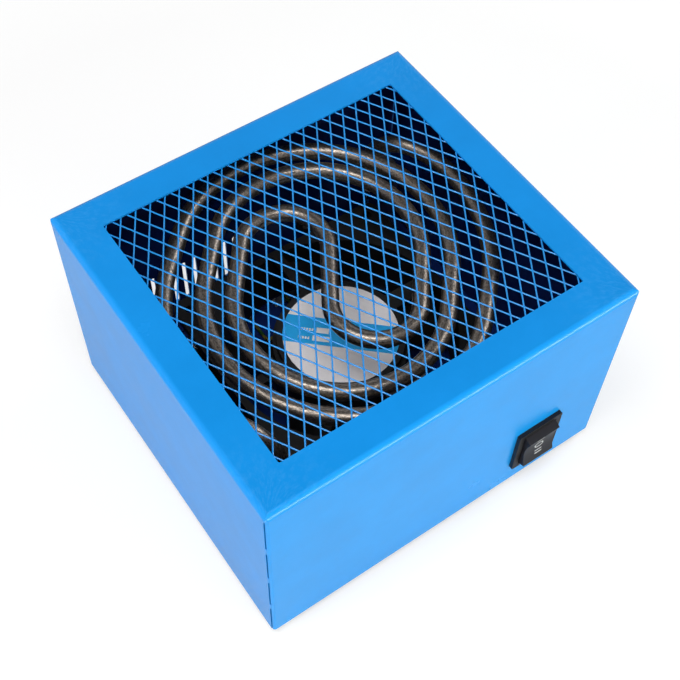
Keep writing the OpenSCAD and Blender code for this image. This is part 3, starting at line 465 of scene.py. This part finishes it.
def even(name, rgb, spread, rough, **more):
    """Finish whose colour varies evenly about one value, by a spread that is a share of it."""
    low, high = [c * (1 - spread) for c in rgb], [min(1, c * (1 + spread)) for c in rgb]
    return finish(name, low, high, rough, **more)


def dress(material, *names):
    """Gives CAD nodes a material."""
    for name in names:
        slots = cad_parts[name].data.materials
        slots.clear()
        slots.append(material)


def dress_metal(name, rgb, spread, rough, *names):
    """Gives CAD nodes a bare metal."""
    dress(even(name, rgb, spread, rough, metallic=1.0), *names)


# Operators

class DRYER_OT_case(bpy.types.Operator):
    """Paints the case and its cover"""
    bl_idname = "dryer.case"
    bl_label = "Case"

    def execute(self, context):
        look = context.scene.dryer_case
        _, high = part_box("housing_shell")

        def wear_and_inside_shade(nodes, shade, roughness):
            """The inside of the sheet, deeper than its skin, is painted dark: painted shade of the
            case's dim inside, which has the same blue paint. At the corners of the top the paint
            shows the marks of grinding, as light streaks that fan out."""
            x, y, z = nodes.add("ShaderNodeSeparateXYZ", {0: nodes.place()}).outputs
            wide, deep = nodes.math("ABSOLUTE", x), nodes.math("ABSOLUTE", y)
            # mask of the inside, where the painted shade goes
            inside = nodes.math("LESS_THAN", wide, high.x - look.skin)
            for value, limit in ((deep, high.y - look.skin), (z, high.z - look.skin)):
                inside = nodes.math("MULTIPLY", inside, nodes.math("LESS_THAN", value, limit))
            ground = nodes.math("MULTIPLY", grinding(nodes, x, wide, deep, z), look.grind_strength)
            shade = nodes.mix(ground, shade, rgba(look.ground))
            # painted shade: the inside gets the dark colour
            return nodes.mix(inside, shade, rgba(look.inside)), roughness

        def grinding(nodes, x, wide, deep, z):
            """Noise over the angle round the nearest corner and the reach from it, drawn out along
            the reach. It is full to a third of the reach of the marks and fades from there."""
            pull, fineness = 25.0, 11.0
            faint, clear = 0.45, 0.75
            from_side = nodes.math("SUBTRACT", high.x, wide)
            from_end = nodes.math("SUBTRACT", high.y, deep)
            reach = nodes.math("SQRT", nodes.math(
                "ADD", nodes.math("MULTIPLY", from_side, from_side),
                nodes.math("MULTIPLY", from_end, from_end),
            ))
            turned = nodes.math("ARCTAN2", from_end, from_side)
            fan = nodes.add("ShaderNodeCombineXYZ", {
                0: turned, 1: nodes.math("MULTIPLY", reach, pull), 2: x,
            })
            streak = nodes.add("ShaderNodeTexNoise", {
                "Vector": fan.outputs[0], "Scale": fineness, "Detail": 3.0, "Roughness": 0.65,
            }).outputs["Fac"]
            near = nodes.ramp(reach, look.grind, look.grind / 3)
            on_top = nodes.math("GREATER_THAN", z, high.z - look.skin)
            return nodes.math(
                "MULTIPLY", nodes.ramp(streak, faint, clear), nodes.math("MULTIPLY", near, on_top)
            )

        rough = about(look.gloss, 0.15)
        dress(even(
            "blue powder coat with painted inside shade", look.paint, 0.05, rough, cloud=30, grain=1 / look.peel,
            bump=0.03, recolour=wear_and_inside_shade, level=0.36,
        ), "housing_shell")
        _, cover_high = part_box("bottom_cover")
        margin = 0.1 * MM

        def cover_top_shade(nodes, shade, roughness):
            """The upper face of the cover, which the case closes over, is painted dark: painted
            shade of the case's closed inside.
            """
            z = nodes.add("ShaderNodeSeparateXYZ", {0: nodes.place()}).outputs[2]
            # painted shade on the cover's upper face
            upper = nodes.math("GREATER_THAN", z, cover_high.z - margin)
            return nodes.mix(upper, shade, rgba(look.inside)), roughness

        dress(even(
            "blue cover coat with painted shade above", look.paint, 0.06, rough, grain=1 / look.peel, bump=0.03,
            recolour=cover_top_shade,
        ), "bottom_cover")
        return {"FINISHED"}


class DRYER_OT_mesh(bpy.types.Operator):
    """Makes the expanded mesh from leaning zigzag strands"""
    bl_idname = "dryer.mesh"
    bl_label = "Mesh"

    def execute(self, context):
        look, case = context.scene.dryer_mesh, context.scene.dryer_case
        low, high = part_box("mesh_guard")
        coat = even(
            "blue mesh coat", case.paint, 0.08, about(case.gloss, 0.2), grain=1 / case.peel,
            level=0.8,
        )
        points = self.strands(look, low, high)
        faces = grid_faces(*points.shape[1:3])
        shells = [(strand, faces) for strand in points]
        shells.append(self.border(look, low, high))
        piece("mesh_strands", shells, coat, "case", ("mesh_guard",), sharp=60)
        return {"FINISHED"}

    def strands(self, look, low, high):
        """Strand k swings between the lines x = k p / 2 and x = (k + 1) p / 2, where p is the
        short pitch, as x = middle + swing * asin(s cos t) / asin(s), with t half a turn for each
        half long pitch and s a little under 1, which rounds the corners. Neighbours swing in
        opposite ways and meet at the corners. The whole pattern is shifted and skewed, and the
        strands that stay inside the border are kept. The bar's profile leans about the strand's
        own direction."""
        softness, steps = 0.995, 8
        half_x, half_y = look.short_pitch / 2, look.long_pitch / 2
        count = math.ceil(high.x / half_x) + 1
        k = np.arange(-count, count)[:, None]
        y = np.linspace(low.y + look.border / 2, high.y - look.border / 2,
                        int((high.y - low.y) / half_y * steps))
        t = np.pi * (y - look.shift[1]) / half_y
        off_line = look.strand_width / 8  # of a strand's middle where neighbours meet
        swing = half_x / 2 - off_line
        wave = np.arcsin(softness * np.cos(t)) / np.arcsin(softness)
        sign = np.where(k % 2 == 0, 1, -1)
        x = look.shift[0] + look.skew * y + (k + 0.5) * half_x + sign * swing * wave
        x = x[np.abs(x).max(1) < high.x - look.strand_width]
        c, s = math.cos(look.lean), math.sin(look.lean)
        level = high.z - look.strand_width / 2 * s - look.strand_thickness / 2 * c
        path = np.stack([x, np.broadcast_to(y, x.shape), np.full_like(x, level)], -1)
        along = np.gradient(path, axis=1)
        along /= np.linalg.norm(along, axis=-1, keepdims=True)
        side = np.stack([along[..., 1], -along[..., 0], np.zeros_like(x)], -1)
        up = np.broadcast_to(np.array([0.0, 0.0, 1.0]), side.shape)
        profile = bar_profile(look.strand_width, look.strand_thickness, look.chamfer)
        return sweep(path, c * side + s * up, c * up - s * side, profile)

    def border(self, look, low, high):
        """Flat frame: a bar's profile carried round the sheet's four corners, mitred."""
        inset, clearance = look.border / 2, 0.1 * MM
        signs = np.array([(1, 1), (-1, 1), (-1, -1), (1, -1)])
        path = np.zeros((4, 3))
        path[:, 0] = signs[:, 0] * (high.x - inset)
        path[:, 1] = signs[:, 1] * (high.y - inset)
        path[:, 2] = (low.z + high.z) / 2
        side = np.concatenate([signs, np.zeros((4, 1))], 1)
        up = np.broadcast_to(np.array([0.0, 0.0, 1.0]), side.shape)
        profile = bar_profile(look.border, high.z - low.z - clearance, look.chamfer)
        points = sweep(path, side, up, profile)
        return points, grid_faces(*points.shape[:2], wrap_rows=True)


class DRYER_OT_heater(bpy.types.Operator):
    """Bends the heater tube and dresses its fixings"""
    bl_idname = "dryer.heater"
    bl_label = "Heater"

    def execute(self, context):
        look, fixings = context.scene.dryer_heater, context.scene.dryer_fixings
        facets = 28
        path, side, up, length = self.tube_path(look)
        profile = round_profile(look.diameter, facets)
        points = sweep(path, side, up, profile)
        round_the_tube = np.broadcast_to(profile / look.diameter, (len(path), len(profile), 2))
        along = np.broadcast_to(length[:, None, None], (len(path), len(profile), 1))
        marks = np.concatenate([along, round_the_tube], -1)

        def along_tube(nodes):
            """Length along the tube, and the place round it as parts of its diameter."""
            return nodes.add("ShaderNodeAttribute", attribute_name="along_tube").outputs["Vector"]

        sheath = finish(
            "heat-tinted sheath", look.scale, look.sheath, (0.4, 0.3), cloud=14, grain=40, bump=0.3,
            bump_mm=0.1, metallic=0.95, vector=along_tube, stretch=(60, 1, 1),
        )
        piece("heater_bent_tube", [(points, grid_faces(*points.shape[:2]))], sheath, "case",
              ("heater_tube",), marks=("along_tube", marks.reshape(-1, 3)))
        dress_metal("ferrule brass", fixings.ferrule, 0.1, (0.3, 0.4),
                    "heater_ferrules", "heater_nuts")
        dress_metal("bracket zinc", fixings.bracket, 0.12, (0.32, 0.45), "heater_brackets")
        dress(even("steatite", fixings.steatite, 0.05, (0.25, 0.35)), "heater_insulators")
        dress_metal("pin steel", fixings.pin, 0.08, (0.25, 0.35), "heater_pins")
        return {"FINISHED"}

    def tube_path(self, look):
        """Stations of the tube. One arm leaves the middle along its heading, and each bend turns
        it about the point one radius to its left: x = x0 + r (sin h - sin h0) and
        y = y0 - r (cos h - cos h0). A quarter bend then takes it down to its end. The other arm
        is the half turn of the first."""
        step, bend_step, down_stations = 4 * MM, math.radians(3), 31
        low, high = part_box("heater_tube")
        level = high.z - look.diameter / 2
        x, y, heading = 0.0, 0.0, look.heading
        rows = []
        for run, radius, angle in zip(look.runs, look.radii, look.angles):
            s = np.linspace(0, run, max(2, math.ceil(run / step)), endpoint=False)
            if run > 0:
                rows.append(np.stack([x + s * math.cos(heading), y + s * math.sin(heading),
                                      np.full_like(s, heading)], -1))
            x, y = x + run * math.cos(heading), y + run * math.sin(heading)
            h = heading + np.linspace(0, angle, math.ceil(angle / bend_step), endpoint=False)
            rows.append(np.stack([x + radius * (np.sin(h) - math.sin(heading)),
                                  y - radius * (np.cos(h) - math.cos(heading)), h], -1))
            turned = heading + angle
            x += radius * (math.sin(turned) - math.sin(heading))
            y -= radius * (math.cos(turned) - math.cos(heading))
            heading = turned
        flat = np.concatenate(rows)
        count = len(flat)
        arm = np.column_stack([flat[:, :2], np.full(count, level), flat[:, 2], np.zeros(count)])
        pitch = np.linspace(0, math.pi / 2, down_stations)
        reach, drop = look.down_radius * np.sin(pitch), look.down_radius * (1 - np.cos(pitch))
        down = np.column_stack([x + reach * math.cos(heading), y + reach * math.sin(heading),
                                level - drop, np.full(down_stations, heading), pitch])
        end = down[-1:].copy()
        end[0, 2] = low.z
        arm = np.concatenate([arm, down, end])
        other = arm[:0:-1] * np.array([-1, -1, 1, 1, -1])
        all_rows = np.concatenate([other, arm])
        path = all_rows[:, :3] + np.array([*look.middle, 0.0])
        h, p = all_rows[:, 3], all_rows[:, 4]
        side = np.stack([-np.sin(h), np.cos(h), np.zeros_like(h)], -1)
        up = np.stack([np.cos(h) * np.sin(p), np.sin(h) * np.sin(p), np.cos(p)], -1)
        length = np.concatenate([[0], np.cumsum(np.linalg.norm(np.diff(path, axis=0), axis=1))])
        return path, side, up, length


class DRYER_OT_fan(bpy.types.Operator):
    """Dresses the fan and prints its label"""
    bl_idname = "dryer.fan"
    bl_label = "Fan"

    def execute(self, context):
        look, fixings = context.scene.dryer_fan, context.scene.dryer_fixings
        low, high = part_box("fan_label")
        middle = (low + high) / 2

        def printed_band(nodes, shade, roughness):
            """A straight band across the middle: points nearer to its line than half its width.
            On it lie two blank fields and two rows of dashes, each a rectangle along the band."""
            centred = nodes.add("ShaderNodeMapping", {
                "Vector": nodes.place(), "Location": (-middle.x, -middle.y, 0),
            })
            x, y, _ = nodes.add("ShaderNodeSeparateXYZ", {0: centred.outputs[0]}).outputs
            across = nodes.math(
                "SUBTRACT", nodes.math("MULTIPLY", y, math.cos(look.band_heading)),
                nodes.math("MULTIPLY", x, math.sin(look.band_heading)),
            )
            along = nodes.math(
                "ADD", nodes.math("MULTIPLY", x, math.cos(look.band_heading)),
                nodes.math("MULTIPLY", y, math.sin(look.band_heading)),
            )

            def rectangle(at_along, at_across, length, height):
                """1 inside a rectangle that is given by its middle and its two sides."""
                return nodes.math(
                    "MULTIPLY", nodes.math("COMPARE", along, at_along, length / 2),
                    nodes.math("COMPARE", across, at_across, height / 2),
                )

            def either(first, second):
                """1 inside one of two rectangles."""
                return nodes.math("MAXIMUM", rectangle(*first), rectangle(*second))

            in_dash = nodes.math("FRACT", nodes.math("DIVIDE", along, look.dash))
            dashed = nodes.math("LESS_THAN", in_dash, look.dash_share)
            rows = either(look.upper_dashes, look.lower_dashes)
            fields = either(look.upper_field, look.lower_field)
            light = nodes.math("MAXIMUM", fields, nodes.math("MULTIPLY", rows, dashed))
            inside = nodes.math("COMPARE", across, 0.0, look.band_width / 2)
            band = nodes.mix(light, rgba(look.band), rgba(look.field))
            return nodes.mix(inside, shade, band), roughness

        dress(even("printed film", look.film, 0.04, (0.3, 0.4), bump=0.03, recolour=printed_band),
              "fan_label")
        dress(even("fan casting", look.black, 0.25, (0.4, 0.55), grain=1400, bump=0.2), "fan_frame")
        dress(even("fan blades", look.black, 0.2, (0.42, 0.52), grain=1600, bump=0.1), "fan_rotor")
        dress(even("core steel", fixings.core, 0.15, (0.35, 0.5), metallic=1.0, stretch=(1, 1, 40)),
              "fan_stator", "fan_rotor_ring")
        dress(even("winding wire", fixings.wire, 0.2, (0.3, 0.4), metallic=0.9), "fan_windings")
        dress_metal("ground steel", fixings.shaft, 0.06, (0.2, 0.3), "fan_bearings", "fan_shaft")
        return {"FINISHED"}


class DRYER_OT_switch(bpy.types.Operator):
    """Dresses the rocker switch and prints its marks"""
    bl_idname = "dryer.switch"
    bl_label = "Switch"

    def execute(self, context):
        look, fixings = context.scene.dryer_switch, context.scene.dryer_fixings
        dress(even("bezel plastic", look.bezel, 0.15, (0.42, 0.52), grain=2200, bump=0.12,
                   level=0.3), "switch_housing")
        dress(even("rocker plastic", look.rocker, 0.12, (0.36, 0.46), grain=2600, bump=0.1,
                   level=0.3), "switch_rocker")
        dress_metal("terminal brass", fixings.terminal, 0.08, (0.28, 0.38), "switch_terminals")
        ink = even("mark ink", look.ink, 0.03, (0.45, 0.55), bump=0.02)
        low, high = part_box("switch_rocker")
        self.middle, self.bottom = (low + high) / 2, low.y + look.dish
        self.radius = (look.dish_half**2 + look.dish**2) / (2 * look.dish)
        profile = bar_profile(look.stroke, 2 * look.ink_height, look.ink_edge)
        bar_stations, ring_stations = 5, 48
        half_gap = look.bar_gap / 2
        shells = []
        for z in (look.bar_place, half_gap - look.bar_place, -half_gap - look.bar_place):
            x = np.linspace(-look.bar / 2, look.bar / 2, bar_stations)
            shells.append(self.stroke(x, np.full_like(x, z), profile, False))
        t = np.linspace(0, 2 * np.pi, ring_stations, endpoint=False)
        half_width, half_height = look.ring
        x, z = half_width * np.cos(t), half_height * np.sin(t)
        shells.append(self.stroke(x, z, profile, True))
        piece("rocker_marks", shells, ink, "rocker")
        return {"FINISHED"}

    def stroke(self, x, z, profile, closed):
        """A bar's profile along a line on the hollow face, which is a cylinder about an axis in
        front of it: y = bottom - r + sqrt(r^2 - z^2), with its normal pointing to that axis."""
        r = self.radius
        y = self.bottom - r + np.sqrt(r * r - z * z)
        path = np.stack([self.middle.x + x, y, self.middle.z + z], -1)
        normal = np.stack([np.zeros_like(z), -np.sqrt(r * r - z * z), -z], -1) / r
        along = np.stack([np.gradient(c) for c in path.T], -1)
        if closed:
            along = np.roll(path, -1, 0) - np.roll(path, 1, 0)
        side = np.cross(normal, along)
        side /= np.linalg.norm(side, axis=1, keepdims=True)
        points = sweep(path, side, normal, profile)
        return points, grid_faces(*points.shape[:2], wrap_rows=closed)


class DRYER_OT_fixings(bpy.types.Operator):
    """Dresses the screws, the feet, the cord inlet and the terminal block"""
    bl_idname = "dryer.fixings"
    bl_label = "Fixings"

    def execute(self, context):
        look = context.scene.dryer_fixings
        dress_metal("zinc plate", look.zinc, 0.1, (0.25, 0.38),
                    "cover_screws", "foot_screws", "fan_screws", "fan_nuts", "bracket_screws",
                    "block_screws", "fan_spacers", "pole_screws", "earth_screw", "earth_nut")
        dress(even("foot rubber", look.rubber, 0.2, (0.7, 0.85), grain=1500, bump=0.3), "feet")
        dress(even("bush plastic", look.bush, 0.15, (0.45, 0.55), bump=0.1), "inlet_bush")
        dress(even("block plastic", look.block, 0.05, (0.35, 0.45), bump=0.05), "terminal_block")
        dress_metal("tag brass", look.tag, 0.08, (0.28, 0.38), "fan_terminals", "earth_tag")
        return {"FINISHED"}


class DRYER_OT_leads(bpy.types.Operator):
    """Colours the leads inside the case"""
    bl_idname = "dryer.leads"
    bl_label = "Leads"

    def execute(self, context):
        look = context.scene.dryer_leads

        def striped(nodes, shade, roughness):
            """Stripes of the second colour in the upper half of a wave along x + y + z."""
            half_wave = 0.314  # of the wave texture at scale 1
            wave = nodes.add("ShaderNodeTexWave", {
                "Vector": nodes.place(), "Scale": half_wave / look.stripe, "Distortion": 0.0,
            }, bands_direction="DIAGONAL").outputs["Fac"]
            second = nodes.math("GREATER_THAN", wave, 0.5)
            return nodes.mix(second, shade, rgba(look.earth_stripe)), roughness

        satin = {"spread": 0.08, "rough": (0.38, 0.5), "bump": 0.05}
        dress(even("live insulation", look.live, **satin), "live_leads")
        dress(even("neutral insulation", look.neutral, **satin), "neutral_leads")
        dress(even("earth insulation", look.earth, recolour=striped, **satin), "earth_lead")
        return {"FINISHED"}


class DRYER_OT_stage(bpy.types.Operator):
    """Sets the camera, the floor, the light and the background"""
    bl_idname = "dryer.stage"
    bl_label = "Stage"

    def execute(self, context):
        look = context.scene.dryer_stage
        context.scene.view_settings.view_transform = "Standard"
        self.camera(context.scene, look)
        self.floor(context.scene, look)
        self.world(context.scene, look)
        for lamp in LAMPS:
            self.lamp(context.scene, *lamp)
        return {"FINISHED"}

    def camera(self, scene, look):
        """Camera at the eye that looks against back = (sin a cos e, -cos a cos e, sin e), with a
        the azimuth and e the elevation, and is then rolled about that line."""
        data = bpy.data.cameras.new("photo camera")
        data.sensor_width = SENSOR_WIDTH
        data.lens = look.focal / IMAGE_SIDE * data.sensor_width
        data.clip_start = NEAREST
        made = bpy.data.objects.new("photo camera", data)
        scene.collection.objects.link(made)
        a, e = look.azimuth, look.elevation
        back = Vector((math.sin(a) * math.cos(e), -math.cos(a) * math.cos(e), math.sin(e)))
        level = (-back).cross(Vector((0, 0, 1))).normalized()
        upright = level.cross(-back)
        right = math.cos(look.roll) * level + math.sin(look.roll) * upright
        up = back.cross(right)
        turned = Matrix((right, up, back)).transposed().to_4x4()
        made.matrix_world = Matrix.Translation(look.eye) @ turned
        scene.camera = made

    def floor(self, scene, look):
        """Flat square, its corners at plus and minus half its side. For the camera it whitens away
        from the object, so that it runs into the background, and in mirrors it glows a little."""
        corners = FLOOR_HALF * np.array([(-1, -1, 0), (1, -1, 0), (1, 1, 0), (-1, 1, 0)])
        mesh = bpy.data.meshes.new("floor")
        mesh.from_pydata(corners.tolist(), [], [(0, 1, 2, 3)])
        made = bpy.data.objects.new("floor", mesh)
        scene.collection.objects.link(made)
        material = bpy.data.materials.new("pale floor")
        material.use_nodes = True
        nodes = Nodes(material.node_tree)
        nodes.tree.nodes.clear()
        diffuse = nodes.add("ShaderNodeBsdfDiffuse", {"Color": rgba(look.floor)}).outputs[0]
        path = nodes.add("ShaderNodeLightPath").outputs
        away = nodes.add("ShaderNodeVectorMath", {0: nodes.place()}, operation="LENGTH")
        white = nodes.ramp(away.outputs["Value"], FLOOR_NEAR, FLOOR_FAR, NEAR_GLOW, FAR_GLOW)
        strength = nodes.math(
            "ADD", nodes.math("MULTIPLY", path["Is Camera Ray"], white),
            nodes.math("MULTIPLY", path["Is Glossy Ray"], MIRRORED_GLOW),
        )
        glow = nodes.add("ShaderNodeEmission", {"Strength": strength}).outputs[0]
        total = nodes.add("ShaderNodeAddShader", {0: diffuse, 1: glow}).outputs[0]
        nodes.add("ShaderNodeOutputMaterial", {"Surface": total})
        mesh.materials.append(material)

    def seen(self, nodes):
        """1 for rays from the camera, from a mirror or through glass."""
        path = nodes.add("ShaderNodeLightPath").outputs
        seen = nodes.math("MAXIMUM", path["Is Camera Ray"], path["Is Glossy Ray"])
        return nodes.math("MAXIMUM", seen, path["Is Transmission Ray"])

    def world(self, scene, look):
        """Even light, and for rays that show it a background, white for the camera, which greys
        towards the zenith in mirrors."""
        world = bpy.data.worlds.new("studio")
        world.use_nodes = True
        scene.world = world
        nodes = Nodes(world.node_tree)
        nodes.tree.nodes.clear()
        direction = nodes.add("ShaderNodeTexCoord").outputs["Generated"]
        height = nodes.add("ShaderNodeSeparateXYZ", {0: direction}).outputs[2]
        camera_ray = nodes.add("ShaderNodeLightPath").outputs["Is Camera Ray"]
        mirrored = nodes.ramp(height, SKY_LOW, SKY_HIGH, SKY_LIGHT, SKY_DARK)
        white = nodes.math("MAXIMUM", mirrored, camera_ray)
        light = nodes.add("ShaderNodeBackground", {"Color": WHITE, "Strength": look.ambient})
        back = nodes.add("ShaderNodeBackground", {"Color": WHITE, "Strength": white})
        both = nodes.add("ShaderNodeMixShader", {
            0: self.seen(nodes), 1: light.outputs[0], 2: back.outputs[0],
        })
        nodes.add("ShaderNodeOutputWorld", {"Surface": both.outputs[0]})

    def lamp(self, scene, name, place, sides, watts, tint, mirrored):
        """Rectangular lamp at a place, turned to face the aim."""
        data = bpy.data.lights.new(name, "AREA")
        data.energy, data.color = watts, tint
        data.shape = "RECTANGLE"
        data.size, data.size_y = sides
        made = bpy.data.objects.new(name, data)
        facing = (Vector(place) - Vector(LAMP_AIM)).to_track_quat("Z", "Y")
        made.matrix_world = Matrix.Translation(place) @ facing.to_matrix().to_4x4()
        made.visible_glossy = mirrored
        scene.collection.objects.link(made)


OPERATORS = (
    DRYER_OT_stage, DRYER_OT_case, DRYER_OT_mesh, DRYER_OT_heater, DRYER_OT_fan, DRYER_OT_switch,
    DRYER_OT_fixings, DRYER_OT_leads,
)


class DRYER_PT_sidebar(bpy.types.Panel):
    """Lists the dryer's sizes, colours and pieces"""
    bl_idname = "DRYER_PT_sidebar"
    bl_label = "Watch dryer"
    bl_space_type = "VIEW_3D"
    bl_region_type = "UI"
    bl_category = "Dryer"

    def draw(self, context):
        for name, group in LOOKS.items():
            box = self.layout.box()
            box.label(text=group.__doc__)
            for key in group.__annotations__:
                box.prop(getattr(context.scene, name), key)
        for operator in OPERATORS:
            self.layout.operator(operator.bl_idname)


CLASSES = (*LOOKS.values(), *OPERATORS, DRYER_PT_sidebar)


def register():
    """Makes the classes known to Blender and gives the scene its properties."""
    for cls in CLASSES:
        bpy.utils.register_class(cls)
    for name, group in LOOKS.items():
        setattr(bpy.types.Scene, name, PointerProperty(type=group))


def unregister():
    """Takes back what register did, in the opposite order."""
    for name in LOOKS:
        delattr(bpy.types.Scene, name)
    for cls in reversed(CLASSES):
        bpy.utils.unregister_class(cls)


def main():
    """Makes the stage and every piece."""
    register()
    for operator in OPERATORS:
        family, name = operator.bl_idname.split(".")
        getattr(getattr(bpy.ops, family), name)()


if __name__ == "__main__":
    main()
